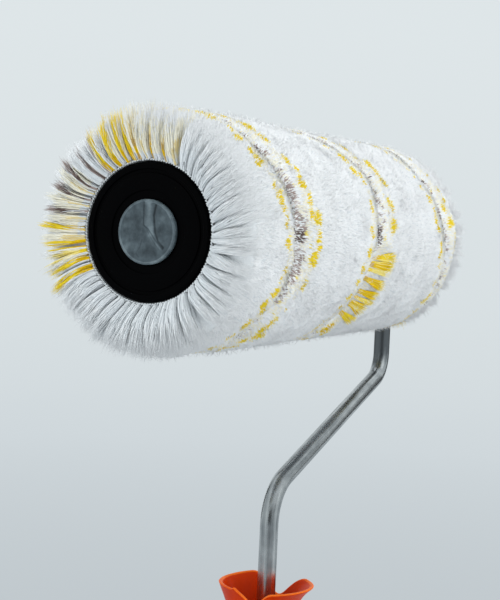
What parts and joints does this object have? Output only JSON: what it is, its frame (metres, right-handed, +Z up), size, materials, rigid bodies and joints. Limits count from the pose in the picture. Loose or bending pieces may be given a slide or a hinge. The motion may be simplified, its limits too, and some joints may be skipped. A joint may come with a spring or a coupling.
{
  "type": "paint roller",
  "caption": "Paint roller: deep-pile cover with end caps and bushes, turning on a bent steel rod held in a bell-mouthed handle with a socket for an extension pole.",
  "frame": {"origin": "centre of the pole socket's mouth, at the tail end of the handle", "axes": "+Z up the handle and the rod's shank, X along the cover's axis with the plugged free end at -X and the side arm at +X, Y across"},
  "size_m": [0.2535, 0.09, 0.325],
  "materials": {
    "zinc_steel": "bright zinc plate with long drawing streaks",
    "spring_steel": "satin",
    "nylon": "satin",
    "orange_plastic": "satin moulded, paler along thin rims",
    "dark_plastic": "satin",
    "core_plastic": "satin",
    "backing_knit": "plain knit",
    "pile": "long white polyamide pile with helical stripes of yellow and grey-brown yarn",
    "black_plastic": "satin, fine turning rings",
    "grey_plastic": "satin with moulding creases"
  },
  "bodies": {
    "frame": {"frame_rod": "zinc_steel", "stop_ring": "zinc_steel", "far_thrust_washer": "nylon", "near_thrust_washer": "nylon", "push_nut": "spring_steel", "handle_shell": "orange_plastic", "handle_core": "dark_plastic", "pole_socket_insert": "dark_plastic"},
    "cover": {"core_tube": "core_plastic", "fabric_backing": "backing_knit", "pile": "pile", "near_end_cap": "black_plastic", "far_end_cap": "black_plastic", "near_bush": "nylon", "far_bush": "nylon", "near_cap_plug": "grey_plastic"}
  },
  "joints": [
    {"name": "cover_spin", "type": "hinge", "parent": "frame", "child": "cover", "pos_m": [0, 0, 0.28], "axis": [1, 0, 0], "continuous": true}
  ]
}
